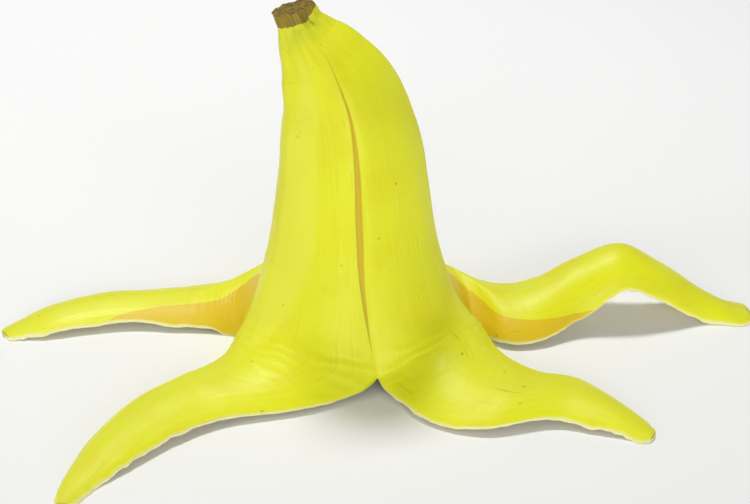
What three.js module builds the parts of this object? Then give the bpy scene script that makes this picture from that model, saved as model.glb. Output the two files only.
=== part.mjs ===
// Banana peel: one skin, still joined at the stem, standing on four torn strips.
// Millimetres, +Z up. The strips rest on the floor at z = 0.
import * as THREE from 'three';

const skinWall = 2.7;            // wall of the skin
const tornWall = 1.15;           // wall along the torn edges and at the tips
const tornTaper = 4.0;           // the wall is full this far in from a torn edge
const tipTaper = 0.84;           // share of a strip's length where the wall starts to thin
const uprightStart = 0.66;       // share of a strip's length where its torn edge starts to stand upright
const uprightEnd = 0.88;         // share of a strip's length where it stands fully upright
const tipRound = 0.95;           // share of a strip's length where the end starts to round
const tipNarrow = 0.95;          // how far round the end curve goes before it is cut square
const tipFlat = 0.6;             // share of the crest's height that goes down with the rounding
const neckSpans = 3.2;           // spans of the body below the stem that are solid
const lobeGrowth = 0.30;         // how much fuller each quarter of the bell gets
const lobeTop = 40;              // height where the quarters start to bulge
const leadAbove = 0.6;           // spans above the bell where the strips' curves are first steered
const roofRise = 1.5;            // rise of the roof of the hollow
const stemCrown = 0.4;           // rise of the cut stem end
const floorEdge = 0.8;           // height of an edge lying on the floor
const liftReach = 2.1;           // how far forward a lifted edge spreads, for each mm of lift
const liftCrest = 0.42;          // share of an edge's lift that the crest follows
const centreShift = new THREE.Vector3(-8.31, 27.43, 0);  // puts the base centre on the origin

const rowsBody = 24;             // rows of faces from stem to bell
const rowsBell = 5;              // rows from the bell to the notches
const rowsStrip = 24;            // rows along each strip
const facesAcross = 10;          // faces across each strip
const rowCrowding = 1.1;         // more than 1 puts more rows at the tips
const tearRows = 6;              // rows below a notch over which the torn edge thins
const slopeStep = 0.004;         // share of the body's length used to find the slope of its axis

// Rings of the body from the stem down: axis x, height, radius.
const bodyRings = [
  [-15.9, 98.4, 5.3],
  [-14.4, 94.6, 6.0],
  [-12.1, 90.4, 8.5],
  [-8.2, 84.0, 12.5],
  [-3.5, 73.5, 16.7],
  [-1.2, 60.0, 19.5],
  [-0.6, 45.0, 21.5],
  [-0.7, 30.0, 23.9],
  [-0.5, 17.0, 26.8],
];

// Where two strips part: angle round the body and the end of the tear.
const notches = {
  left: { angle: 180, end: [-32.0, 0.2, 1.3] },
  front: { angle: 282, end: [6.7, -30.8, 4.5] },
  right: { angle: 8, end: [33.0, 4.0, 3.0] },
  back: { angle: 95, end: [-2.5, 31.0, 3.2] },
};

// Each strip lies between two notches. A station gives both edges on plan, the height of the
// crest between them, how far the crest leans outward, and the edge heights if off the floor.
// The front edge of each strip curls up a little from the floor: lifts, one for each station.
const strips = [
  {
    from: 'left', to: 'front', angles: [180, 282], shoulder: [-23.0, -27.0, 11.4],
    lifted: 'right', lifts: [0.8, 1.5, 1.7, 1.2, 0, 0],
    stations: [
      { left: [-37.5, -13.5], right: [-11, -40.8], crest: 7.2, lean: 7.7 },
      { left: [-48, -25], right: [-33, -46], crest: 6.2, lean: 2.1 },
      { left: [-59, -37], right: [-46, -55.5], crest: 5.4, lean: 0.9 },
      { left: [-67.5, -57], right: [-56, -68.5], crest: 4.4, lean: 0 },
      { left: [-71.3, -76], right: [-63.5, -80.5], crest: 2.4, lean: 0 },
      { left: [-71.8, -87.5], right: [-67.3, -88.3], crest: 1.1, lean: 0 },
    ],
  },
  {
    from: 'front', to: 'right', angles: [282, 368], shoulder: [28.5, -22.5, 11.8],
    lifted: 'left', lifts: [0.9, 1.8, 1.8, 0.8, 0, 0],
    stations: [
      { left: [19.5, -46.3], right: [42, -11.5], crest: 8.2, lean: 4.4 },
      { left: [35, -50], right: [51.5, -21.5], crest: 6.2, lean: 2.2 },
      { left: [53, -46.2], right: [62, -26], crest: 5.2, lean: 0.5 },
      { left: [66, -52.5], right: [70.5, -37.5], crest: 4.2, lean: 0 },
      { left: [73.5, -57.2], right: [77, -47.5], crest: 2.2, lean: 0 },
      { left: [77, -58], right: [79.2, -53.5], crest: 1.1, lean: 0 },
    ],
  },
  {
    from: 'right', to: 'back', angles: [8, 95], shoulder: [28.0, 23.5, 12.6],
    lifted: 'left', lifts: [1.6, 1.8, 0.8, 0, 0, 0, 0, 0],
    stations: [
      { left: [43, -2.5], right: [41, 29.5], crest: 8.8, lean: 0.6 },
      { left: [54, -1.2], right: [53, 28], crest: 11.0, lean: 0.4, edges: [0.9, 3.2] },
      { left: [65.5, 4], right: [64, 28], crest: 16.2, lean: 0, edges: [3.6, 7.8] },
      { left: [78, 6], right: [78, 28.5], crest: 20.8, lean: 0, edges: [12.3, 14.3] },
      { left: [90, 7.5], right: [89, 26], crest: 15.6, lean: 0, edges: [8.0, 8.6] },
      { left: [102, 8.5], right: [101, 25], crest: 7.8, lean: 0, edges: [1.2, 1.3] },
      { left: [112.5, 7.6], right: [111.5, 23], crest: 2.6, lean: 0 },
      { left: [119, 10.5], right: [118.5, 20], crest: 1.1, lean: 0 },
    ],
  },
  {
    from: 'back', to: 'left', angles: [95, 180], shoulder: [-28.0, 22.0, 12.8],
    lifted: 'right', lifts: [1.4, 2.0, 2.0, 1.4, 0.6, 0],
    stations: [
      { left: [-41, 31.5], right: [-42.5, 6.4], crest: 6.8, lean: 0.8 },
      { left: [-60, 29], right: [-60, 9.2], crest: 5.0, lean: 0 },
      { left: [-76, 26.5], right: [-74, 8.2], crest: 4.7, lean: 0 },
      { left: [-90, 19.5], right: [-85, 3.0], crest: 4.2, lean: 0 },
      { left: [-98.5, 9.8], right: [-94, 0.0], crest: 2.2, lean: 0 },
      { left: [-102.8, 3.2], right: [-99.5, -1.4], crest: 1.1, lean: 0 },
    ],
  },
];

// Smooth curve through points, as plain numbers.
function along(points, t) {
  const last = points.length - 1;
  const f = Math.min(Math.max(t, 0), 1) * last;
  const i = Math.min(Math.floor(f), last - 1);
  const w = f - i;
  const p0 = points[Math.max(i - 1, 0)];
  const p1 = points[i];
  const p2 = points[i + 1];
  const p3 = points[Math.min(i + 2, last)];
  return p1.map((_, n) => {
    const v0 = (p2[n] - p0[n]) / 2;
    const v1 = (p3[n] - p1[n]) / 2;
    const cube = 2 * p1[n] - 2 * p2[n] + v0 + v1;
    const square = -3 * p1[n] + 3 * p2[n] - 2 * v0 - v1;
    return ((cube * w + square) * w + v0) * w + p1[n];
  });
}

function ease(a, b, x) {
  const t = Math.min(Math.max((x - a) / (b - a), 0), 1);
  return t * t * (3 - 2 * t);
}

const spans = bodyRings.length - 1;
const leadIn = 1 - leadAbove / spans;

// A ring of the body stands square to its bent axis.
function ring(u) {
  const [x, z, radius] = along(bodyRings, u);
  const a = along(bodyRings, Math.max(u - slopeStep, 0));
  const b = along(bodyRings, Math.min(u + slopeStep, 1));
  const down = new THREE.Vector3(b[0] - a[0], 0, b[1] - a[1]).normalize();
  return {
    centre: new THREE.Vector3(x, 0, z),
    across: new THREE.Vector3(-down.z, 0, down.x),
    radius,
  };
}

function onRing(at, angle, radius) {
  return at.centre.clone()
    .addScaledVector(at.across, radius * Math.cos(angle))
    .add(new THREE.Vector3(0, radius * Math.sin(angle), 0));
}

function seamPoint(u, notch) {
  const at = ring(u);
  return onRing(at, THREE.MathUtils.degToRad(notch.angle), at.radius);
}

// Each quarter of the bell is an arc between its seams that grows fuller on the way down.
function crestPoint(u, strip) {
  const at = ring(u);
  const [a, b] = strip.angles.map((angle) => THREE.MathUtils.degToRad(angle));
  const half = (b - a) / 2;
  const grown = ease(0, 1, (lobeTop - at.centre.z) / (lobeTop - bodyRings[spans][1]));
  const open = half * (1 + lobeGrowth * grown);
  const bend = at.radius * Math.sin(half) / Math.sin(open);
  return onRing(at, (a + b) / 2, at.radius * Math.cos(half) + bend * (1 - Math.cos(open)));
}

// Points on the circular arc from left to right that passes through the crest.
function archRow(left, crest, right) {
  const middle = left.clone().add(right).multiplyScalar(0.5);
  const side = right.clone().sub(left);
  const halfWidth = side.length() / 2;
  side.normalize();
  const rise = crest.clone().sub(middle);
  rise.addScaledVector(side, -rise.dot(side));
  const height = rise.length();
  rise.normalize();
  const bend = (halfWidth * halfWidth + height * height) / (2 * height);
  const open = Math.atan2(halfWidth, bend - height);
  const row = [];
  for (let j = 0; j <= facesAcross; j++) {
    const angle = open * (2 * j / facesAcross - 1);
    row.push(middle.clone()
      .addScaledVector(rise, height - bend + bend * Math.cos(angle))
      .addScaledVector(side, bend * Math.sin(angle)));
  }
  return row;
}

// The three guide curves of a strip: its two torn edges and its crest.
function guidesOf(strip) {
  const left = [seamPoint(leadIn, strip.start).toArray(), strip.start.end];
  const right = [seamPoint(leadIn, strip.finish).toArray(), strip.finish.end];
  const crest = [crestPoint(leadIn, strip).toArray(), crestPoint(1, strip).toArray(), strip.shoulder];
  strip.stations.forEach((s, n) => {
    const [zl, zr] = s.edges ?? [floorEdge, floorEdge];
    const [xl, yl] = s.left;
    const [xr, yr] = s.right;
    const liftLeft = strip.lifted === 'left' ? strip.lifts[n] : 0;
    const liftRight = strip.lifts[n] - liftLeft;
    const a = new THREE.Vector3(xl, yl - liftReach * liftLeft, zl + liftLeft);
    const b = new THREE.Vector3(xr, yr - liftReach * liftRight, zr + liftRight);
    left.push(a.toArray());
    right.push(b.toArray());
    const out = new THREE.Vector2(a.y - b.y, b.x - a.x).normalize();
    const x = (a.x + b.x) / 2 - out.x * s.lean;
    const y = (a.y + b.y) / 2 - out.y * s.lean;
    crest.push([x, y, s.crest + liftCrest * strip.lifts[n]]);
  });
  return { left, right, crest };
}

function lowSeam(w, notch) {
  const path = [seamPoint(leadIn, notch).toArray(), seamPoint(1, notch).toArray(), notch.end];
  return new THREE.Vector3(...along(path, (1 + w) / 2));
}

function rowsOf(strip) {
  const rows = [];
  for (let i = 0; i <= rowsBody; i++) {
    const u = i / rowsBody;
    rows.push(archRow(seamPoint(u, strip.start), crestPoint(u, strip), seamPoint(u, strip.finish)));
  }
  const guide = guidesOf(strip);
  const edgeSpans = guide.left.length - 1;
  const crestSpans = guide.crest.length - 1;
  for (let i = 1; i <= rowsBell; i++) {
    const w = i / rowsBell;
    const crest = new THREE.Vector3(...along(guide.crest, (1 + w) / crestSpans));
    rows.push(archRow(lowSeam(w, strip.start), crest, lowSeam(w, strip.finish)));
  }
  for (const g of stripShares) {
    const left = new THREE.Vector3(...along(guide.left, (1 + g * (edgeSpans - 1)) / edgeSpans));
    const right = new THREE.Vector3(...along(guide.right, (1 + g * (edgeSpans - 1)) / edgeSpans));
    const crest = new THREE.Vector3(...along(guide.crest, (2 + g * (crestSpans - 2)) / crestSpans));
    if (g > tipRound) {
      const round = Math.sqrt(1 - (tipNarrow * (g - tipRound) / (1 - tipRound)) ** 2);
      const middle = left.clone().add(right).multiplyScalar(0.5);
      left.sub(middle).multiplyScalar(round).add(middle);
      right.sub(middle).multiplyScalar(round).add(middle);
      crest.z = middle.z + (crest.z - middle.z) * (1 - tipFlat + tipFlat * round);
    }
    rows.push(archRow(left, crest, right));
  }
  return rows;
}

const stripShares = [];
for (let i = 1; i <= rowsStrip; i++) {
  stripShares.push(1 - (1 - i / rowsStrip) ** rowCrowding);
}

for (const strip of strips) {
  strip.start = notches[strip.from];
  strip.finish = notches[strip.to];
}

// Outer side: the quarters share their seam points as far down as the notches.
const joinedRows = rowsBody + rowsBell + 1;
const allRows = joinedRows + rowsStrip;
const outer = [];
const pointOf = strips.map(() => []);
strips.forEach((strip, s) => {
  rowsOf(strip).forEach((row, i) => {
    pointOf[s][i] = [];
    row.forEach((point, j) => {
      if (i < joinedRows && j === facesAcross) return;
      pointOf[s][i][j] = outer.length;
      outer.push(point);
    });
  });
});
strips.forEach((strip, s) => {
  for (let i = 0; i < joinedRows; i++) {
    pointOf[s][i][facesAcross] = pointOf[(s + 1) % strips.length][i][0];
  }
});

const faces = [];
function quad(a, b, c, d) {
  faces.push([a, b, c], [a, c, d]);
}
function eachFace(firstRow, add) {
  strips.forEach((strip, s) => {
    for (let i = firstRow; i < allRows - 1; i++) {
      for (let j = 0; j < facesAcross; j++) {
        add(pointOf[s][i][j], pointOf[s][i][j + 1], pointOf[s][i + 1][j + 1], pointOf[s][i + 1][j]);
      }
    }
  });
}
eachFace(0, (a, b, c, d) => quad(a, d, c, b));

// Inner side: the outer points moved in along their normals by the wall of the skin.
const normals = outer.map(() => new THREE.Vector3());
for (const [a, b, c] of faces) {
  const turn = outer[b].clone().sub(outer[a]).cross(outer[c].clone().sub(outer[a]));
  for (const n of [a, b, c]) {
    normals[n].add(turn);
  }
}
const wall = outer.map(() => skinWall);
const upright = outer.map(() => 0);
strips.forEach((strip, s) => {
  for (let i = joinedRows; i < allRows; i++) {
    const row = pointOf[s][i].map((n) => outer[n]);
    const run = [0];
    for (let j = 1; j <= facesAcross; j++) {
      run.push(run[j - 1] + row[j].distanceTo(row[j - 1]));
    }
    const share = stripShares[i - joinedRows];
    const torn = ease(0, tearRows, i - joinedRows + 1);
    const tip = 1 - ease(tipTaper, 1, share);
    pointOf[s][i].forEach((n, j) => {
      const fromEdge = Math.min(run[j], run[facesAcross] - run[j]);
      const bevelled = tornWall + (skinWall - tornWall) * ease(0, tornTaper, fromEdge);
      const full = skinWall * (1 - torn) + bevelled * torn;
      wall[n] = tornWall + (full - tornWall) * tip;
      upright[n] = ease(uprightStart, uprightEnd, share);
    });
  }
});
const below = outer.length;
const up = new THREE.Vector3(0, 0, 1);
const inner = outer.map((point, n) => {
  const facing = normals[n].normalize().lerp(up, upright[n]).normalize();
  return point.clone().addScaledVector(facing, -wall[n]);
});
const firstHollowRow = Math.round(neckSpans / spans * rowsBody);
eachFace(firstHollowRow, (a, b, c, d) => quad(a + below, b + below, c + below, d + below));

// Torn edges join the two sides, from each notch round the tip and back.
strips.forEach((strip, s) => {
  for (let i = joinedRows - 1; i < allRows - 1; i++) {
    const l0 = pointOf[s][i][0];
    const l1 = pointOf[s][i + 1][0];
    const r0 = pointOf[s][i][facesAcross];
    const r1 = pointOf[s][i + 1][facesAcross];
    quad(l0, l0 + below, l1 + below, l1);
    quad(r0, r1, r1 + below, r0 + below);
  }
  for (let j = 0; j < facesAcross; j++) {
    const a = pointOf[s][allRows - 1][j];
    const b = pointOf[s][allRows - 1][j + 1];
    quad(a, a + below, b + below, b);
  }
});

// The cut end of the stem, and the roof of the hollow under the solid neck.
const points = [...outer, ...inner];
function middleOf(row, offset) {
  const sum = new THREE.Vector3();
  let count = 0;
  strips.forEach((strip, s) => {
    for (let j = 0; j < facesAcross; j++) {
      sum.add(points[pointOf[s][row][j] + offset]);
      count += 1;
    }
  });
  return sum.divideScalar(count);
}
const stemEnd = points.push(middleOf(0, 0).add(new THREE.Vector3(0, 0, stemCrown))) - 1;
const roof = points.push(middleOf(firstHollowRow, below).add(new THREE.Vector3(0, 0, roofRise))) - 1;
strips.forEach((strip, s) => {
  for (let j = 0; j < facesAcross; j++) {
    faces.push([stemEnd, pointOf[s][0][j], pointOf[s][0][j + 1]]);
    const a = pointOf[s][firstHollowRow][j] + below;
    const b = pointOf[s][firstHollowRow][j + 1] + below;
    faces.push([roof, b, a]);
  }
});

// What would sink below the floor lies flat on it instead.
const used = new Map();
const positions = [];
const indices = [];
for (const face of faces) {
  for (const n of face) {
    if (!used.has(n)) {
      used.set(n, positions.length / 3);
      const p = points[n];
      positions.push(p.x + centreShift.x, p.y + centreShift.y, Math.max(p.z, 0) + centreShift.z);
    }
    indices.push(used.get(n));
  }
}
const geometry = new THREE.BufferGeometry();
geometry.setAttribute('position', new THREE.Float32BufferAttribute(positions, 3));
geometry.setIndex(indices);
geometry.computeVertexNormals();

const skin = new THREE.MeshStandardMaterial({ color: 0xe1e235, roughness: 0.5, metalness: 0.0 });
const peel = new THREE.Mesh(geometry, skin);
peel.name = 'banana_peel';

const part = new THREE.Group();
part.name = 'banana_peel_part';
part.add(peel);

export default part;
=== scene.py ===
import math

import bpy
import numpy as np
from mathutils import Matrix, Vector, noise


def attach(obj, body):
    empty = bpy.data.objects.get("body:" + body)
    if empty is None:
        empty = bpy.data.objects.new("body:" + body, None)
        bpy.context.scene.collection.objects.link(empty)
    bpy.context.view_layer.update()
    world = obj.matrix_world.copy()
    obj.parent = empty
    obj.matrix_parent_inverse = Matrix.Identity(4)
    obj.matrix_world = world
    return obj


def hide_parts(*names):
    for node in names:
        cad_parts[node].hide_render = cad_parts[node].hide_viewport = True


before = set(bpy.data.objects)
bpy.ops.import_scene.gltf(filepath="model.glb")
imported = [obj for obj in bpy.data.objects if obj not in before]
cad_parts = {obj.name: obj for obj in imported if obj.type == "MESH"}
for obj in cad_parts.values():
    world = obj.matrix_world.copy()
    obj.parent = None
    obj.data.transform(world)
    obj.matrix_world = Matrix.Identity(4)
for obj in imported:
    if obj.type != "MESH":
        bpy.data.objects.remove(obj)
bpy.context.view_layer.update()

mm = 0.001


# Millimetres. The rings, notches and stations of the CAD solid, so both follow one surface;
# only the tip of the strip with the hump is drawn in by about 1 mm.
peel = {
    "rings": [                      # axis x, height, radius, from the stem down
        (-15.9, 98.4, 5.3), (-14.4, 94.6, 6.0), (-12.1, 90.4, 8.5), (-8.2, 84.0, 12.5), (-3.5, 73.5, 16.7),
        (-1.2, 60.0, 19.5), (-0.6, 45.0, 21.5), (-0.7, 30.0, 23.9), (-0.5, 17.0, 26.8)],
    "shift": (-8.31, 27.43, 0.0),   # puts the base centre on the origin
    "skinWall": 2.7,
    "tornWall": 1.15,
    "tornTaper": 4.0,               # the wall is full this far in from a torn edge
    "tipTaper": 0.84,
    "tipUpright": 0.66,
    "tipRound": 0.95,
    "tipNarrow": 0.95,              # how much of its width a tip loses
    "tipFlat": 0.6,                 # how much of its height
    "neckSpans": 3.2,               # spans below the stem that are solid
    "lobeGrowth": 0.30,
    "lobeTop": 40.0,
    "leadAbove": 0.6,               # spans above the bell where the strips' guides begin
    "slopeStep": 0.004,
    "floorEdge": 0.8,
    "liftReach": 2.1,               # how far forward a lifted edge spreads, for each mm of lift
    "liftCrest": 0.42,              # share of the lift that the crest follows
    "rowsBody": 136,
    "rowsBell": 24,
    "rowsStrip": 140,
    "across": 40,
    "crowding": 1.1,
}

notches = {
    "left": {"angle": 180, "end": (-32.0, 0.2, 1.3)},
    "front": {"angle": 282, "end": (6.7, -30.8, 4.5)},
    "right": {"angle": 8, "end": (33.0, 4.0, 3.0)},
    "back": {"angle": 95, "end": (-2.5, 31.0, 3.2)},
}

# Each station: left edge x, y, right edge x, y, crest height, lean outward, then the edge
# heights if off the floor. The front edge curls up a little: lifts, one for each station.
strips = [
    {"name": "frontLeft", "start": "left", "finish": "front", "angles": (180, 282),
     "shoulder": (-23.0, -27.0, 11.4),
     "lifted": "right", "lifts": (0.8, 1.5, 1.7, 1.2, 0, 0),
     "stations": [(-37.5, -13.5, -11, -40.8, 7.2, 7.7), (-48, -25, -33, -46, 6.2, 2.1),
                  (-59, -37, -46, -55.5, 5.4, 0.9), (-67.5, -57, -56, -68.5, 4.4, 0),
                  (-71.3, -76, -63.5, -80.5, 2.4, 0), (-71.8, -87.5, -67.3, -88.3, 1.1, 0)]},
    {"name": "frontRight", "start": "front", "finish": "right", "angles": (282, 368),
     "shoulder": (28.5, -22.5, 11.8),
     "lifted": "left", "lifts": (0.9, 1.8, 1.8, 0.8, 0, 0),
     "stations": [(19.5, -46.3, 42, -11.5, 8.2, 4.4), (35, -50, 51.5, -21.5, 6.2, 2.2),
                  (53, -46.2, 62, -26, 5.2, 0.5), (66, -52.5, 70.5, -37.5, 4.2, 0),
                  (73.5, -57.2, 77, -47.5, 2.2, 0), (77, -58, 79.2, -53.5, 1.1, 0)]},
    {"name": "rearRight", "start": "right", "finish": "back", "angles": (8, 95),
     "shoulder": (28.0, 23.5, 12.6),
     "lifted": "left", "lifts": (1.6, 1.8, 0.8, 0, 0, 0, 0, 0),
     "stations": [(43, -2.5, 41, 29.5, 8.8, 0.6), (54, -1.2, 53, 28, 11.0, 0.4, 0.9, 3.2),
                  (65.5, 4, 64, 28, 16.2, 0, 3.6, 7.8), (78, 6, 78, 28.5, 20.8, 0, 12.3, 14.3),
                  (90, 7.5, 89, 26, 15.6, 0, 8.0, 8.6), (102, 8.5, 101, 25, 7.8, 0, 1.2, 1.3),
                  (111.8, 7.6, 110.8, 23, 2.6, 0), (117.2, 9.6, 117.0, 20.6, 1.1, 0)]},
    {"name": "rearLeft", "start": "back", "finish": "left", "angles": (95, 180),
     "shoulder": (-28.0, 22.0, 12.8),
     "lifted": "right", "lifts": (1.4, 2.0, 2.0, 1.4, 0.6, 0),
     "stations": [(-41, 31.5, -42.5, 6.4, 6.8, 0.8), (-60, 29, -60, 9.2, 5.0, 0),
                  (-76, 26.5, -74, 8.2, 4.7, 0), (-90, 19.5, -85, 3.0, 4.2, 0),
                  (-98.5, 9.8, -94, 0.0, 2.2, 0), (-102.8, 3.2, -99.5, -1.4, 1.1, 0)]},
]

lastRing = len(peel["rings"]) - 1
leadIn = 1 - peel["leadAbove"] / lastRing


def along(points, t):
    # smooth curve through points, at shares t from 0 to 1
    p = np.asarray(points, float)
    last = len(p) - 1
    f = np.clip(np.asarray(t, float), 0, 1) * last
    i = np.minimum(f.astype(int), last - 1)
    w = (f - i)[..., None]
    p0, p1, p2, p3 = p[np.maximum(i - 1, 0)], p[i], p[i + 1], p[np.minimum(i + 2, last)]
    v0, v1 = (p2 - p0) / 2, (p3 - p1) / 2
    return (((2 * p1 - 2 * p2 + v0 + v1) * w + (-3 * p1 + 3 * p2 - 2 * v0 - v1)) * w + v0) * w + p1


def ease(a, b, x):
    t = np.clip((np.asarray(x, float) - a) / (b - a), 0, 1)
    return t * t * (3 - 2 * t)


def unit(v):
    return v / np.maximum(np.linalg.norm(v, axis=-1, keepdims=True), 1e-12)


def ring(u):
    u = np.atleast_1d(np.asarray(u, float))
    x, z, radius = along(peel["rings"], u).T
    step = peel["slopeStep"]
    down = along(peel["rings"], u + step) - along(peel["rings"], u - step)
    down = unit(down[:, :2])
    centre = np.stack([x, 0 * x, z], -1)
    across = np.stack([-down[:, 1], 0 * x, down[:, 0]], -1)
    return centre, across, radius


def onRing(u, angle, radius=None):
    centre, across, ringRadius = ring(u)
    radius = ringRadius if radius is None else radius
    side = np.array([0.0, 1.0, 0.0])
    return centre + (radius * math.cos(angle))[:, None] * across + (radius * math.sin(angle))[:, None] * side


def seamPoints(u, notch):
    return onRing(u, math.radians(notch["angle"]))


def crestPoints(u, strip):
    # each quarter of the bell grows fuller on the way down
    centre, across, radius = ring(u)
    a, b = (math.radians(angle) for angle in strip["angles"])
    half = (b - a) / 2
    grown = ease(0, 1, (peel["lobeTop"] - centre[:, 2]) / (peel["lobeTop"] - peel["rings"][-1][1]))
    opened = half * (1 + peel["lobeGrowth"] * grown)
    bend = radius * math.sin(half) / np.sin(opened)
    return onRing(u, (a + b) / 2, radius * math.cos(half) + bend * (1 - np.cos(opened)))


def archRows(left, crest, right, v):
    # circular arcs from left to right through the crest, v from -1 to 1
    middle = (left + right) / 2
    halfWidth = np.linalg.norm(right - left, axis=-1, keepdims=True) / 2
    side = (right - left) / (2 * halfWidth)
    rise = crest - middle
    rise = rise - side * (rise * side).sum(-1, keepdims=True)
    height = np.linalg.norm(rise, axis=-1, keepdims=True)
    rise = rise / height
    bend = (halfWidth ** 2 + height ** 2) / (2 * height)
    turn = np.arctan2(halfWidth, bend - height) * v
    outward = (height - bend)[..., None] + bend[..., None] * np.cos(turn)[..., None]
    return middle[:, None] + outward * rise[:, None] + (bend * np.sin(turn))[..., None] * side[:, None]


def guideCurves(strip):
    start, finish = notches[strip["start"]], notches[strip["finish"]]
    left = [seamPoints(leadIn, start)[0], start["end"]]
    right = [seamPoints(leadIn, finish)[0], finish["end"]]
    crest = [crestPoints(leadIn, strip)[0], crestPoints(1, strip)[0], strip["shoulder"]]
    for (x0, y0, x1, y1, top, lean, *edges), lift in zip(strip["stations"], strip["lifts"]):
        zl, zr = edges or (peel["floorEdge"],) * 2
        liftLeft = lift if strip["lifted"] == "left" else 0
        liftRight = lift - liftLeft
        y0 -= peel["liftReach"] * liftLeft
        y1 -= peel["liftReach"] * liftRight
        top += peel["liftCrest"] * lift
        left.append((x0, y0, zl + liftLeft))
        right.append((x1, y1, zr + liftRight))
        out = unit(np.array([y0 - y1, x1 - x0]))
        crest.append(((x0 + x1) / 2 - out[0] * lean, (y0 + y1) / 2 - out[1] * lean, top))
    return left, crest, right


def lowSeam(w, notch):
    return along([seamPoints(leadIn, notch)[0], seamPoints(1, notch)[0], notch["end"]], (1 + w) / 2)


def roughness1d(count, step, seed, low=-1.0, high=1.0):
    # smooth random line, one knot every step samples
    knots = np.random.RandomState(seed).uniform(low, high, int(count / step) + 4)
    return np.interp(np.arange(count) / step, np.arange(len(knots)), knots)


shares = 1 - (1 - np.arange(1, peel["rowsStrip"] + 1) / peel["rowsStrip"]) ** peel["crowding"]
bodyShares = np.arange(peel["rowsBody"] + 1) / peel["rowsBody"]
bellShares = np.arange(1, peel["rowsBell"] + 1) / peel["rowsBell"]
joinedRows = peel["rowsBody"] + peel["rowsBell"] + 1
allRows = joinedRows + peel["rowsStrip"]
# reach runs below -1 on the body, -1 to 0 down the bell and 0 to 1 along a strip
reach = np.concatenate([-1 - lastRing * (1 - bodyShares), bellShares - 1, shares])
acrossShares = np.linspace(-1, 1, peel["across"] + 1)


tear = {
    "longWander": 0.55,             # how far a torn edge strays, in mm, over long stretches
    "longStep": 11,                 # rows between its knots
    "shortWander": 0.22,
    "shortStep": 3.2,
}


def stripGrid(strip, number):
    start, finish = notches[strip["start"]], notches[strip["finish"]]
    body = archRows(seamPoints(bodyShares, start), crestPoints(bodyShares, strip),
                    seamPoints(bodyShares, finish), acrossShares[None, :])
    left, crest, right = guideCurves(strip)
    spans, crestSpans = len(left) - 1, len(crest) - 1
    bell = archRows(lowSeam(bellShares, start), along(crest, (1 + bellShares) / crestSpans),
                    lowSeam(bellShares, finish), acrossShares[None, :])
    l = along(left, (1 + shares * (spans - 1)) / spans)
    r = along(right, (1 + shares * (spans - 1)) / spans)
    c = along(crest, (2 + shares * (crestSpans - 2)) / crestSpans)
    atTip = np.clip((shares - peel["tipRound"]) / (1 - peel["tipRound"]), 0, 1)
    rounding = np.sqrt(1 - (peel["tipNarrow"] * atTip) ** 2)
    middle = (l + r) / 2
    l = middle + (l - middle) * rounding[:, None]
    r = middle + (r - middle) * rounding[:, None]
    flattened = 1 - peel["tipFlat"] + peel["tipFlat"] * rounding
    c[:, 2] = middle[:, 2] + (c[:, 2] - middle[:, 2]) * flattened
    # torn edges wander a little, more over long lengths than short ones
    halfRun = np.linalg.norm(r - l, axis=-1) / 2
    fadeIn = ease(0, 0.12, shares) * (1 - ease(0.9, 1, shares))
    wander = []
    for side in (0, 1):
        seed = 10 * number + side
        line = tear["longWander"] * roughness1d(len(shares), tear["longStep"], seed)
        line = line + tear["shortWander"] * roughness1d(len(shares), tear["shortStep"], seed + 5)
        wander.append(1 + line * fadeIn / halfRun)
    v = np.where(acrossShares[None, :] < 0, wander[0][:, None], wander[1][:, None])
    v = acrossShares[None, :] * (1 + (v - 1) * np.abs(acrossShares[None, :]) ** 3)
    return eased(np.concatenate([body, bell, archRows(l, c, r, v)]))


flareJoint = {                     # rows smoothed where the body starts to flare
    "window": 10,
    "softness": 4.5,
    "above": (8, 24),
    "below": (4, 12),
}


def eased(grid):
    window = np.arange(-flareJoint["window"], flareJoint["window"] + 1)
    kernel = np.exp(-(window / flareJoint["softness"]) ** 2 / 2)
    kernel /= kernel.sum()
    joint = peel["rowsBody"]
    rows = np.arange(joint - flareJoint["above"][1], joint + flareJoint["below"][1] + 1)
    soft = sum(w * grid[rows + n] for n, w in zip(window, kernel))
    share = (1 - ease(*flareJoint["above"], joint - rows)) * (1 - ease(*flareJoint["below"], rows - joint))
    grid[rows] += (soft - grid[rows]) * share[:, None, None]
    return grid


grids = [stripGrid(strip, number) for number, strip in enumerate(strips)]
across = peel["across"]
numbers = np.full((len(strips), allRows, across + 1), -1)
points, facts = [], []
for k, strip in enumerate(strips):
    low, high = strip["angles"]
    angles = low + (acrossShares + 1) / 2 * (high - low)
    steps = np.linalg.norm(np.diff(grids[k], axis=1), axis=-1)
    run = np.concatenate([np.zeros((allRows, 1)), np.cumsum(steps, axis=1)], axis=1)
    crestLine = grids[k][:, across // 2]
    down = np.concatenate([[0], np.cumsum(np.linalg.norm(np.diff(crestLine, axis=0), axis=-1))])
    for i in range(allRows):
        last = across if i < joinedRows else across + 1
        for j in range(last):
            numbers[k, i, j] = len(points)
            points.append(grids[k][i, j])
            facts.append((k, i, j, angles[j], down[i], run[i, j], run[i, -1] - run[i, j], run[i, -1]))
for k in range(len(strips)):
    numbers[k, :joinedRows, across] = numbers[(k + 1) % len(strips), :joinedRows, 0]
points = np.array(points)
facts = np.array(facts)
farFromTear = 40.0                  # stands for the unbroken body, in mm from a torn edge
stripOf, rowOf, colOf = (facts[:, n].astype(int) for n in range(3))
angleOf, downOf, runLeft, runRight, widthOf = (facts[:, n] for n in range(3, 8))
reachOf = reach[rowOf]
vOf = acrossShares[colOf]
onStrip = reachOf > 0
edgeOf = np.where(onStrip, np.minimum(runLeft, runRight), farFromTear)
tearIn = ease(0, 0.06, reachOf)
print("skin grid", len(points), "points a side")


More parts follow.
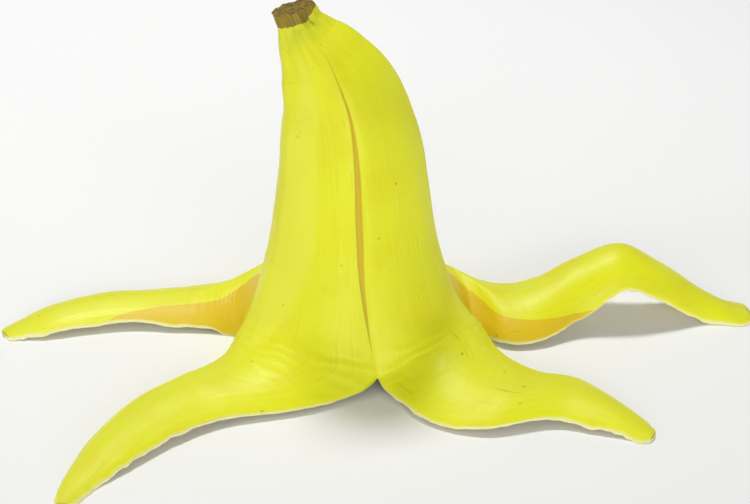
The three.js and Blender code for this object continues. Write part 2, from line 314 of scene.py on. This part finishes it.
def quadsOf(table, firstRow):
    a, b = table[:, firstRow:-1, :-1], table[:, firstRow:-1, 1:]
    c, d = table[:, firstRow + 1:, 1:], table[:, firstRow + 1:, :-1]
    return np.stack([a, d, c, b], -1).reshape(-1, 4)


outerQuads = quadsOf(numbers, 0)


def pointNormals(where, quads):
    diagonal = np.cross(where[quads[:, 2]] - where[quads[:, 0]], where[quads[:, 3]] - where[quads[:, 1]])
    total = np.zeros_like(where)
    for corner in range(4):
        np.add.at(total, quads[:, corner], diagonal)
    return unit(total)


normals = pointNormals(points, outerQuads)


def cloudNoise(where, size, offset=0.0):
    # signed noise, one value a point, features about size long
    return np.array([noise.noise(Vector(p)) for p in where / size + offset])


relief = {
    "ridgeAngles": (282, 354, 66, 138, 210),   # the fruit's five edges
    "ridgeHeight": 0.42,
    "ridgeWidth": 2.6,
    "facet": 0.40,                  # flats between the ridges
    "swell": 0.30,                  # soft unevenness
    "unevenness": 0.12,
    "fibres": 0.05,
    "neckFolds": 0.22,
    "foldCount": 15,
    "bendWrinkles": 0.10,
    "creaseDepth": 0.42,
    "stringHeight": 0.28,           # fibres under the skin, on the inner side
    "stringWidth": 0.9,
    "pithSwell": 0.22,
}

# The front crease bows to the left of the front seam and swings right below the stem.
crease = {
    "low": -4.0,                    # heights where the bow starts and ends
    "high": 80.0,
    "bow": 5.6,                     # degrees to the left at its widest
    "bowSkew": 1.4,                 # above 1 moves the widest place up
    "swing": 6.5,                   # degrees to the right at the top
    "swingFrom": 78.0,
    "foot": 9.0,                    # heights where the groove starts and ends
    "top": 91.0,
    "halfWidth": 0.92,
    "widthSkew": 0.85,              # below 1 moves the widest place down
    "taper": 1.3,
}

millimetresADegree = widthOf / np.array([s["angles"][1] - s["angles"][0] for s in strips])[stripOf]
height = points[:, 2]


def gap(angle):
    # distance in mm round the skin from an angle
    turn = (angleOf - angle + 180) % 360 - 180
    return turn * millimetresADegree


def creaseShape():
    climb = np.clip((height - crease["low"]) / (crease["high"] - crease["low"]), 0, 1)
    stray = -crease["bow"] * np.sin(math.pi * climb ** crease["bowSkew"])
    stray = stray + crease["swing"] * ease(crease["swingFrom"], crease["top"], height)
    away = ((angleOf - notches["front"]["angle"] - stray + 180) % 360 - 180) * millimetresADegree
    share = np.clip((height - crease["foot"]) / (crease["top"] - crease["foot"]), 0, 1)
    arch = np.maximum(np.sin(math.pi * share ** crease["widthSkew"]), 0)
    half = crease["halfWidth"] * arch ** crease["taper"] * (reachOf < 0)
    return away, np.where(np.abs(away) < 6, half, 0)


creaseAway, creaseHalf = creaseShape()
softNoise = cloudNoise(points, 17.0, 3.1)
fineNoise = cloudNoise(points, 6.5, 9.7)
grainPlace = np.stack([22 * np.cos(np.radians(angleOf)), 22 * np.sin(np.radians(angleOf)), downOf], -1)
streakNoise = cloudNoise(grainPlace * np.array([1, 1, 0.10]), 1.6, 5.3)


def outerRelief():
    lift = np.zeros(len(points))
    slack = 1 - 0.55 * ease(0, 0.8, reachOf)
    for angle in relief["ridgeAngles"]:
        away = np.abs(gap(angle))
        lift += relief["ridgeHeight"] * slack * np.exp(-(away / relief["ridgeWidth"]) ** 2)
    onBody = 1 - ease(-1.2, 0.1, reachOf)
    lift += relief["facet"] * onBody * (np.cos(np.radians(5 * (angleOf - 282))) - 0.4)
    lift += relief["swell"] * softNoise + relief["unevenness"] * fineNoise
    neck = ease(78, 88, height) * onBody
    lift += relief["neckFolds"] * neck * np.cos(np.radians(relief["foldCount"] * angleOf) + 2.5 * softNoise)
    bend = np.exp(-((reachOf + 0.15) / 0.35) ** 2)
    lift += relief["bendWrinkles"] * bend * np.sin(downOf * 2.1 + 5 * fineNoise)
    lift -= relief["creaseDepth"] * creaseHalf * np.exp(-(creaseAway / (creaseHalf + 0.6)) ** 2)
    lift += relief["fibres"] * streakNoise
    lift *= ease(0.0, 3.5, edgeOf + 3.5 * (1 - tearIn)) * 0.85 + 0.15
    lift *= 1 - ease(0.86, 1, reachOf) * 0.8
    return lift * ease(0.0, 3.0, downOf + 0.6)


lift = outerRelief()
outer = points + normals * lift[:, None]

# the stem is a little angular and flares at its cut end
stemTurn = np.cos(np.radians(6 * angleOf + 40)) * (1 - ease(3.0, 8.0, downOf))
flare = 0.35 * (1 - ease(0.0, 2.5, downOf)) - 0.25 * np.exp(-((downOf - 4.0) / 1.5) ** 2)
outer += normals * (0.28 * stemTurn + flare)[:, None]
outer[:, 2] = np.maximum(outer[:, 2], 0.35)


def wallThickness():
    bevel = peel["tornWall"] + (peel["skinWall"] - peel["tornWall"]) * ease(0, peel["tornTaper"], edgeOf)
    full = peel["skinWall"] * (1 - tearIn) + bevel * tearIn
    tip = 1 - ease(peel["tipTaper"], 1, reachOf)
    return peel["tornWall"] + (full - peel["tornWall"]) * tip


upright = ease(peel["tipUpright"], peel["tipTaper"] + 0.04, reachOf)[:, None]
facing = unit(normals * (1 - upright) + np.array([0, 0, 1.0]) * upright)
stringsAt = np.linspace(0, 360, 22, endpoint=False) + np.random.RandomState(4).uniform(-5, 5, 22)


def innerRelief():
    lift = np.zeros(len(points))
    for n, angle in enumerate(stringsAt):
        sway = 2.2 * cloudNoise(np.stack([downOf * 0.045, 0 * downOf, 0 * downOf + n * 7.3], -1), 1.0)
        away = np.abs(gap(angle) + sway)
        strength = 0.55 + 0.45 * math.sin(n * 2.4)
        lift += strength * relief["stringHeight"] * np.exp(-(away / relief["stringWidth"]) ** 2)
    lift += relief["pithSwell"] * cloudNoise(points, 5.0, 21.0)
    return lift * ease(0.2, 3.0, edgeOf) * (1 - ease(0.8, 0.97, reachOf))


inner = points - facing * (wallThickness() - innerRelief())[:, None]
inner[:, 2] = np.maximum(inner[:, 2], 0.0)
outer[:, 2] = np.maximum(outer[:, 2], inner[:, 2] + 0.3)
print("relief done")


rim = {
    "steps": 3,                     # rows of points between the outer and the inner edge
    "bulge": 0.30,
    "fray": (0.4, 1.6),
}
total = 2 * len(outer)
firstHollowRow = round(peel["neckSpans"] / lastRing * peel["rowsBody"])
innerQuads = quadsOf(numbers + len(outer), firstHollowRow)[:, ::-1]


def tornOutline():
    # one closed walk round every torn edge, with a point further in from each
    ids, inward = [], []
    for k in range(len(strips)):
        first = joinedRows - 1
        ids += [numbers[k, first:, 0], numbers[k, -1, 1:-1], numbers[k, first + 1:, across][::-1]]
        inward += [numbers[k, first:, 1], numbers[k, -3, 1:-1], numbers[k, first + 1:, across - 1][::-1]]
        inward[-3] = np.concatenate([[numbers[k, first - 3, 0]], inward[-3][1:]])
    return np.concatenate(ids), np.concatenate(inward)


def buildRim():
    # rounded, slightly frayed face from the outer edge to the inner one
    ids, inward = tornOutline()
    count = len(ids)
    top, bottom = outer[ids], inner[ids]
    away = unit(points[ids] - points[inward])
    fray = roughness1d(count, 2.3, 40, *rim["fray"])
    table, added = [ids], []
    for step in range(1, rim["steps"] + 1):
        t = step / (rim["steps"] + 1)
        ruffle = 1 + 0.5 * roughness1d(count, 1.4, 40 + step, -1, 1)
        bulge = rim["bulge"] * math.sin(math.pi * t) * fray * ruffle
        row = top * (1 - t) + bottom * t + away * bulge[:, None]
        row[:, 2] = np.maximum(row[:, 2], 0.02)
        table.append(total + len(added) * count + np.arange(count))
        added.append(row)
    table = np.array([*table, ids + len(outer)])
    after = np.roll(table, -1, axis=1)
    quads = np.stack([table[:-1], table[1:], after[1:], after[:-1]], -1).reshape(-1, 4)
    return quads, np.concatenate(added), np.tile(ids, rim["steps"])


rimQuads, rimPoints, rimSource = buildRim()
roofLoop = np.concatenate([numbers[k, firstHollowRow, :-1] for k in range(len(strips))]) + len(outer)
roofPoint = inner[roofLoop - len(outer)].mean(0) + np.array([0, 0, 1.5])
roofId = total + len(rimPoints)
roofTriangles = [(roofId, int(b), int(a)) for a, b in zip(roofLoop, np.roll(roofLoop, -1))]

stemEnd = {
    "rings": [0.97, 0.90, 0.80, 0.66, 0.5, 0.34, 0.18, 0.07],
    "dish": 0.7,                    # how far the middle sinks
    "lip": 0.35,
    "rough": 0.28,
}


def buildStemEnd(firstId):
    # the cut face, in rings from the bark to the middle
    loopIds = np.concatenate([numbers[k, 0, :-1] for k in range(len(strips))])
    loop, count = outer[loopIds], len(loopIds)
    centre = loop.mean(0)
    axis = unit(np.cross(loop[0] - centre, loop[count // 4] - centre))
    rows = []
    for share in stemEnd["rings"]:
        row = centre + (loop - centre) * share
        rise = stemEnd["lip"] * math.sin(math.pi * min((1 - share) / 0.22, 1))
        rise -= stemEnd["dish"] * ease(0.12, 0.9, 1 - share)
        rows.append(row + axis * (rise + stemEnd["rough"] * cloudNoise(row, 1.3, 2.0))[:, None])
    where = np.concatenate([*rows, [rows[-1].mean(0)]])
    table = np.vstack([loopIds, firstId + np.arange(len(rows) * count).reshape(len(rows), count)])
    after = np.roll(table, -1, axis=1)
    quads = np.stack([table[:-1], after[:-1], after[1:], table[1:]], -1).reshape(-1, 4).tolist()
    middle = firstId + len(where) - 1
    fan = [(int(a), int(b), middle) for a, b in zip(table[-1], after[-1])]
    return where, quads + fan, np.append(np.tile(loopIds, len(rows)), loopIds[0])


endPoints, endFaces, endSource = buildStemEnd(roofId + 1)
allPoints = np.concatenate([outer, inner, rimPoints, [roofPoint], endPoints])
skinIds = np.arange(len(outer))
source = np.concatenate([skinIds, skinIds, rimSource, [roofLoop[0] - len(outer)], endSource])


def meshPiece(name, where, faces):
    data = bpy.data.meshes.new(name)
    placed = (where + np.array(peel["shift"])) * mm
    data.from_pydata(placed.tolist(), [], [[int(i) for i in face] for face in faces])
    data.update()
    data.polygons.foreach_set("use_smooth", [True] * len(data.polygons))
    piece = bpy.data.objects.new(name, data)
    bpy.context.scene.collection.objects.link(piece)
    return piece


faces = [*outerQuads.tolist(), *rimQuads.tolist(), *innerQuads.tolist(), *roofTriangles, *endFaces]
skin = meshPiece("peelSkin", allPoints, faces)
faceCounts = [len(outerQuads), len(rimQuads), len(innerQuads) + len(roofTriangles), len(endFaces)]
faceKinds = np.repeat(np.arange(len(faceCounts)), faceCounts)
skin.data.polygons.foreach_set("material_index", faceKinds)
print("skin mesh", len(skin.data.vertices), "vertices", len(skin.data.polygons), "faces")


# Painted shade: amber skin in the lee of the body, on the near side of each rear strip, where it turns into
# the fold.
# Its limit across the strip closes in to deepest at turn, then widens again to the edge at finish.
amberAndPaintedShade = {
    "start": -1.6,
    "turn": -0.57,
    "flare": 6,                     # how suddenly it closes to the edge at its end
    "past": 1.2,                    # mm beyond the seam where it begins to fade in
    "full": -4.5,
    "sides": {
        "rearLeft": {"near": 1, "seam": "left", "finish": 0.5, "deepest": 0.33, "slope": 0.10},
        "rearRight": {"near": -1, "seam": "right", "finish": 0.45, "deepest": 0.38, "slope": 0.30}},
}

# Painted highlight: a pale band along the left facet of the body, where a lamp's sheen lies; it leans right
# below the stem.
paintedHighlight = {
    "foot": 8.0,
    "top": 91.0,
    "halfWidth": 0.32,
    "middle": -0.20,                # across the front left strip, at the foot
    "risePart": 0.15,               # how far it has moved right by the waist
    "rise": (8, 40),
    "leanPart": 0.47,               # and by the top
    "lean": (60, 92),
}


def softened(values, span):
    padded = np.pad(values, span, mode="edge")
    return np.convolve(padded, np.ones(2 * span + 1) / (2 * span + 1), mode="valid")


def paintedShadeMasks():
    # how far inside the painted-shade patch, and how strongly it shows beside the seam above each notch
    mask, strength = np.zeros(len(points)), np.zeros(len(points))
    for k, strip in enumerate(strips):
        rule = amberAndPaintedShade["sides"].get(strip["name"])
        if not rule:
            continue
        closing = 1 - ease(amberAndPaintedShade["start"], amberAndPaintedShade["turn"], reach)
        share = np.clip((reach - amberAndPaintedShade["turn"]) / (rule["finish"] - amberAndPaintedShade["turn"]), 0, 1)
        flare = 1 - rule["deepest"] - rule["slope"]
        limit = rule["deepest"] + (1 - rule["deepest"]) * closing
        limit = limit + rule["slope"] * share + flare * share ** amberAndPaintedShade["flare"]
        outside = (reach < amberAndPaintedShade["start"]) | (reach > rule["finish"])
        limit = softened(np.where(outside, 1.2, limit), 7)[rowOf]
        fromSeam = gap(notches[rule["seam"]]["angle"]) * rule["near"]
        joined = reachOf < 0
        beyond = joined & (stripOf != k) & (np.abs(fromSeam) < 8)
        depth = (np.where(beyond, 1.0, rule["near"] * vOf) - limit) * widthOf / 2
        here = (stripOf == k) | beyond
        mask = np.where(here, np.clip(depth / 4 + 0.5, 0, 1), mask)
        nearSeam = ease(amberAndPaintedShade["past"], amberAndPaintedShade["full"], fromSeam)
        rest = (1 - nearSeam) * ease(-0.35, 0.02, reachOf) * (stripOf == k)
        strength = np.where(here, nearSeam + rest, strength)
    return mask, strength


def paintedHighlightMask():
    middle = paintedHighlight["middle"] + paintedHighlight["risePart"] * ease(*paintedHighlight["rise"], height)
    middle = middle + paintedHighlight["leanPart"] * ease(*paintedHighlight["lean"], height)
    fromWaist = np.abs(2 * (height - paintedHighlight["foot"]) / (paintedHighlight["top"] - paintedHighlight["foot"]) - 1)
    halfBand = paintedHighlight["halfWidth"] * np.maximum(1 - fromWaist ** 3, 0)
    inside = (halfBand - np.abs(vOf - middle)) * widthOf / 2
    strength = np.clip(inside / 1.4 + 0.4, 0, 1) * (reachOf < 0.1)
    return np.where((stripOf == 0), strength * ease(7, 12, height) * (1 - ease(86, 91, height)), 0)


fromFront = np.abs((angleOf - 256 + 180) % 360 - 180)
stemLine = 0.8 + 2.5 * ease(115, 42, fromFront) + 0.35 * cloudNoise(grainPlace, 3.0, 1.7)
paintedShadeArea, paintedShadeStrength = paintedShadeMasks()
masks = {
    "amberAndPaintedShade": paintedShadeArea,
    "paintedShadeStrength": paintedShadeStrength,
    "paintedHighlight": paintedHighlightMask(),
    "creaseAway": np.clip(creaseAway, -6, 6),
    "creaseHalf": np.where(np.abs(creaseAway) < 6, creaseHalf, -2),
    "stem": 1 - ease(-0.35, 0.35, downOf - stemLine),
    "green": (1 - ease(4.0, 17.0, downOf + 3.0 * softNoise)),
    "torn": np.where(onStrip, edgeOf, farFromTear) + (1 - tearIn) * 6.0,
    "tip": ease(0.93, 1.0, reachOf),
}


def writeAttribute(piece, name, values):
    attribute = piece.data.attributes.new(name, "FLOAT", "POINT")
    attribute.data.foreach_set("value", np.asarray(values, np.float32))


for name, values in masks.items():
    writeAttribute(skin, name, values[source])
grain = skin.data.attributes.new("grain", "FLOAT_VECTOR", "POINT")
grain.data.foreach_set("vector", (grainPlace[source] * mm).astype(np.float32).ravel())
print("masks written")


def shade(r, g, b):
    # display colour 0 to 255, as the linear value a node wants
    def channel(c):
        c = c / 255
        return c / 12.92 if c <= 0.04045 else ((c + 0.055) / 1.055) ** 2.4
    return (channel(r), channel(g), channel(b), 1.0)


class nodeSheet:
    # a material's node tree with short ways to add nodes
    def __init__(self, name):
        self.material = bpy.data.materials.new(name)
        self.material.use_nodes = True
        self.tree = self.material.node_tree
        self.shader = self.tree.nodes["Principled BSDF"]

    def node(self, kind, **settings):
        made = self.tree.nodes.new(kind)
        for key, value in settings.items():
            setattr(made, key, value)
        return made

    def link(self, out, into):
        self.tree.links.new(out, into)

    def attribute(self, name, vector=False):
        made = self.node("ShaderNodeAttribute", attribute_name=name)
        return made.outputs["Vector" if vector else "Fac"]

    def noise(self, place, scale, detail=3.0, roughness=0.55, stretch=None):
        if stretch:
            mapping = self.node("ShaderNodeMapping")
            mapping.inputs["Scale"].default_value = stretch
            self.link(place, mapping.inputs["Vector"])
            place = mapping.outputs["Vector"]
        made = self.node("ShaderNodeTexNoise")
        made.inputs["Scale"].default_value = scale
        made.inputs["Detail"].default_value = detail
        made.inputs["Roughness"].default_value = roughness
        self.link(place, made.inputs["Vector"])
        return made.outputs["Fac"]

    def cells(self, place, scale, randomness=1.0):
        made = self.node("ShaderNodeTexVoronoi")
        made.inputs["Scale"].default_value = scale
        made.inputs["Randomness"].default_value = randomness
        self.link(place, made.inputs["Vector"])
        return made.outputs["Distance"]

    def remap(self, value, low, high, newLow=0.0, newHigh=1.0):
        made = self.node("ShaderNodeMapRange")
        made.interpolation_type = "SMOOTHSTEP"
        for key, number in (("From Min", low), ("From Max", high), ("To Min", newLow), ("To Max", newHigh)):
            made.inputs[key].default_value = number
        self.link(value, made.inputs["Value"])
        return made.outputs["Result"]

    def math(self, operation, a, b=None):
        made = self.node("ShaderNodeMath", operation=operation)
        for socket, value in zip(made.inputs, (a, b)):
            if value is None:
                continue
            if isinstance(value, (int, float)):
                socket.default_value = value
            else:
                self.link(value, socket)
        return made.outputs[0]

    def blend(self, under, over, amount):
        made = self.node("ShaderNodeMix", data_type="RGBA")
        for socket, value in ((made.inputs[6], under), (made.inputs[7], over)):
            if isinstance(value, tuple):
                socket.default_value = value
            else:
                self.link(value, socket)
        if isinstance(amount, (int, float)):
            made.inputs[0].default_value = amount
        else:
            self.link(amount, made.inputs[0])
        return made.outputs[2]

    def bump(self, heightValue, distance, strength=1.0, under=None):
        made = self.node("ShaderNodeBump")
        made.inputs["Strength"].default_value = strength
        made.inputs["Distance"].default_value = distance
        self.link(heightValue, made.inputs["Height"])
        if under is not None:
            self.link(under, made.inputs["Normal"])
        return made.outputs["Normal"]

    def set(self, **values):
        for key, value in values.items():
            socket = self.shader.inputs[key.replace("_", " ")]
            if isinstance(value, (int, float, tuple)):
                socket.default_value = value
            else:
                self.link(value, socket)


skinLook = {
    "yellow": shade(229, 231, 28),
    "deep": shade(225, 221, 22),
    # light is the pale of the skin's streaks and of the painted highlight
    "light": shade(234, 233, 66),
    # amber colours the skin's fibres, and the painted shade on the rear strips
    "amberAndPaintedShade": shade(225, 193, 30),
    # crease is painted shade for the front crease groove
    "crease": shade(208, 176, 30),
    "green": shade(200, 208, 44),
    "stem": shade(156, 134, 46),
    "stemDark": shade(98, 80, 32),
    "rim": shade(236, 234, 150),
    "fleck": shade(146, 106, 40),
    "scuff": shade(190, 156, 54),
}


def outerSkinMaterial():
    m = nodeSheet("bananaSkinOuter")
    place = m.attribute("grain", vector=True)
    streaks = m.noise(place, 900, 3, 0.6, stretch=(1, 1, 0.06))
    patches = m.noise(place, 60, 3, 0.5)
    pores = m.cells(place, 1500)
    fibres = m.noise(place, 2400, 2, 0.5, stretch=(1, 1, 0.025))
    color = m.blend(skinLook["yellow"], skinLook["deep"], m.remap(patches, 0.45, 0.70, 0, 0.8))
    color = m.blend(color, skinLook["light"], m.remap(streaks, 0.50, 0.75, 0, 0.5))
    color = m.blend(color, skinLook["amberAndPaintedShade"], m.remap(fibres, 0.55, 0.75, 0, 0.30))
    # painted highlight: the pale band down the left facet of the body
    color = m.blend(color, skinLook["light"], m.math("MULTIPLY", m.attribute("paintedHighlight"), 0.75))
    greenEdge = m.math("ADD", m.attribute("green"), m.math("MULTIPLY", m.math("SUBTRACT", streaks, 0.5), 0.6))
    color = m.blend(color, skinLook["green"], m.remap(greenEdge, 0.35, 1.1, 0, 0.6))
    # painted shade: the amber patch in the lee of the body on the rear strips
    mottledShade = m.math("ADD", m.attribute("amberAndPaintedShade"), m.math("MULTIPLY", m.math("SUBTRACT", patches, 0.5), 0.45))
    inPaintedShade = m.math("MULTIPLY", m.remap(mottledShade, 0.44, 0.56), m.attribute("paintedShadeStrength"))
    color = m.blend(color, skinLook["amberAndPaintedShade"], inPaintedShade)
    # painted shade: darker skin down the front crease groove
    inCrease = m.math("SUBTRACT", m.attribute("creaseHalf"), m.math("ABSOLUTE", m.attribute("creaseAway")))
    creaseShadeEdge = m.math("ADD", inCrease, m.math("MULTIPLY", m.math("SUBTRACT", streaks, 0.5), 0.25))
    color = m.blend(color, skinLook["crease"], m.remap(creaseShadeEdge, -0.10, 0.22, 0, 0.95))
    # a few small brown freckles
    freckleSpots = m.cells(place, 210)
    freckleField = m.noise(place, 90, 2, 0.5)
    freckle = m.math("MULTIPLY", m.remap(freckleSpots, 0.05, 0.11, 1, 0), m.remap(freckleField, 0.56, 0.66))
    color = m.blend(color, skinLook["fleck"], m.math("MULTIPLY", freckle, 0.6))
    scuffs = m.noise(place, 420, 3, 0.6, stretch=(1, 1, 0.12))
    color = m.blend(color, skinLook["scuff"], m.remap(scuffs, 0.68, 0.76, 0, 0.45))
    tornEdge = m.math("ADD", m.attribute("torn"), m.math("MULTIPLY", m.math("SUBTRACT", streaks, 0.5), 0.9))
    color = m.blend(color, skinLook["rim"], m.remap(tornEdge, 0.15, 0.75, 0.9, 0))
    color = m.blend(color, skinLook["fleck"], m.math("MULTIPLY", m.remap(m.attribute("tip"), 0.5, 1.0), 0.5))
    woody = m.blend(skinLook["stem"], skinLook["stemDark"], m.remap(streaks, 0.40, 0.72))
    color = m.blend(color, woody, m.remap(m.attribute("stem"), 0.35, 0.65))
    m.link(color, m.shader.inputs["Base Color"])
    rough = m.remap(patches, 0.3, 0.8, 0.44, 0.56)
    dull = m.math("MULTIPLY", m.attribute("stem"), 0.3)
    m.link(m.math("ADD", rough, dull), m.shader.inputs["Roughness"])
    under = m.bump(streaks, 0.00012, 0.7)
    under = m.bump(fibres, 0.00005, 0.6, under)
    under = m.bump(pores, 0.00005, 0.5, under)
    under = m.bump(m.remap(inCrease, -0.25, 0.5, 1, 0), 0.00035, 0.8, under)
    m.link(m.bump(patches, 0.0006, 0.3, under), m.shader.inputs["Normal"])
    m.set(Subsurface_Weight=0.08, Subsurface_Radius=(0.004, 0.003, 0.0006), Subsurface_Scale=0.6,
          Coat_Weight=0.06, Coat_Roughness=0.35, Specular_IOR_Level=0.30)
    return m.material


pithLook = {
    "cream": shade(243, 236, 196),
    "warm": shade(232, 216, 150),
    "string": shade(250, 245, 216),
    "bruise": shade(206, 176, 112),
}


def innerPithMaterial(name, ragged=False):
    m = nodeSheet(name)
    place = m.attribute("grain", vector=True)
    strands = m.noise(place, 650, 4, 0.6, stretch=(1, 1, 0.05))
    clouds = m.noise(place, 80, 3, 0.5)
    color = m.blend(pithLook["cream"], pithLook["warm"], m.remap(clouds, 0.4, 0.75, 0, 0.8))
    color = m.blend(color, pithLook["string"], m.remap(strands, 0.52, 0.7, 0, 0.8))
    color = m.blend(color, pithLook["bruise"], m.remap(m.noise(place, 150, 4, 0.6), 0.62, 0.78, 0, 0.45))
    if ragged:
        color = m.blend(color, skinLook["rim"], 0.55)
    m.link(color, m.shader.inputs["Base Color"])
    under = m.bump(strands, 0.0003, 0.8)
    m.link(m.bump(m.noise(place, 1400, 3, 0.6), 0.00012, 0.5, under), m.shader.inputs["Normal"])
    m.set(Roughness=0.62, Specular_IOR_Level=0.35, Subsurface_Weight=0.15,
          Subsurface_Radius=(0.004, 0.003, 0.0015), Subsurface_Scale=0.5)
    return m.material


woodLook = {
    "wood": shade(150, 126, 46),
    "woodDark": shade(98, 78, 32),
    "woodPale": shade(176, 150, 66),
}


def stemEndMaterial():
    m = nodeSheet("stemWood")
    place = m.node("ShaderNodeTexCoord").outputs["Object"]
    fibres = m.noise(place, 900, 4, 0.65)
    rings = m.cells(place, 700)
    color = m.blend(woodLook["wood"], woodLook["woodDark"], m.remap(fibres, 0.35, 0.65))
    color = m.blend(color, woodLook["woodPale"], m.remap(rings, 0.1, 0.35, 0.5, 0))
    m.link(color, m.shader.inputs["Base Color"])
    m.link(m.bump(fibres, 0.0006, 0.9), m.shader.inputs["Normal"])
    m.set(Roughness=0.8, Specular_IOR_Level=0.25)
    return m.material


for material in (outerSkinMaterial(), innerPithMaterial("tornRim", True), innerPithMaterial("innerPith"),
                 stemEndMaterial()):
    skin.data.materials.append(material)
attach(skin, "root")
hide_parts("banana_peel")
print("skin finished")


studio = {
    "floor": (0.95, 0.95, 0.945, 1.0),
    "floorHalf": 3.0,
    "horizon": 0.84,                # room light low down and overhead
    "zenith": 0.20,
    "zenithFrom": 0.55,
    "lamps": [                      # name, place, aimed at, size, watts
        ("overheadKey", (-0.14, 0.42, 0.95), (0, 0, 0.02), (0.20, 0.20), 6.4),
        ("frontFill", (0.3, -2.2, 0.55), (0, 0, 0.06), (2.2, 0.8), 25.0),
        ("leftStrip", (-0.75, -0.35, 0.35), (0, 0, 0.05), (0.16, 0.6), 0.9)],
    "cameraTarget": (6.0, 0.0, 27.5),
    "cameraDistance": 480.0,
    "cameraElevation": 25.0,
    "lens": 81.8,
}


def buildFloor():
    data = bpy.data.meshes.new("studioFloor")
    s = studio["floorHalf"]
    data.from_pydata([(-s, -s, 0), (s, -s, 0), (s, s, 0), (-s, s, 0)], [], [(0, 1, 2, 3)])
    floor = bpy.data.objects.new("studioFloor", data)
    bpy.context.scene.collection.objects.link(floor)
    m = nodeSheet("paleFloor")
    m.set(Base_Color=studio["floor"], Roughness=0.9, Specular_IOR_Level=0.1)
    data.materials.append(m.material)


def areaLight(name, place, target, size, power):
    light = bpy.data.lights.new(name, "AREA")
    light.shape = "RECTANGLE"
    light.size, light.size_y = size
    light.energy = power
    lamp = bpy.data.objects.new(name, light)
    lamp.location = place
    lamp.rotation_euler = (Vector(target) - Vector(place)).to_track_quat("-Z", "Y").to_euler()
    bpy.context.scene.collection.objects.link(lamp)


def buildRoomLight():
    # white room, brighter low down than overhead
    world = bpy.data.worlds.new("paleRoom")
    world.use_nodes = True
    tree = world.node_tree
    place = tree.nodes.new("ShaderNodeTexCoord")
    split = tree.nodes.new("ShaderNodeSeparateXYZ")
    fade = tree.nodes.new("ShaderNodeMapRange")
    fade.inputs["From Max"].default_value = studio["zenithFrom"]
    fade.inputs["To Min"].default_value = studio["horizon"]
    fade.inputs["To Max"].default_value = studio["zenith"]
    tree.links.new(place.outputs["Generated"], split.inputs["Vector"])
    tree.links.new(split.outputs["Z"], fade.inputs["Value"])
    background = tree.nodes["Background"]
    background.inputs["Color"].default_value = (1, 1, 1, 1)
    tree.links.new(fade.outputs["Result"], background.inputs["Strength"])
    bpy.context.scene.world = world


def buildStudio():
    buildFloor()
    buildRoomLight()
    for lamp in studio["lamps"]:
        areaLight(*lamp)


def buildCamera():
    shift = np.array(peel["shift"])
    target = Vector((np.array(studio["cameraTarget"]) + shift) * mm)
    lift = math.radians(studio["cameraElevation"])
    back = Vector((0, -math.cos(lift), math.sin(lift))) * studio["cameraDistance"] * mm
    data = bpy.data.cameras.new("viewCamera")
    data.lens = studio["lens"]
    data.sensor_width = 36
    camera = bpy.data.objects.new("viewCamera", data)
    camera.location = target + back
    camera.rotation_euler = (-back).to_track_quat("-Z", "Y").to_euler()
    bpy.context.scene.collection.objects.link(camera)
    bpy.context.scene.camera = camera


buildStudio()
buildCamera()
bpy.context.scene.view_settings.view_transform = "Standard"
print("studio done")
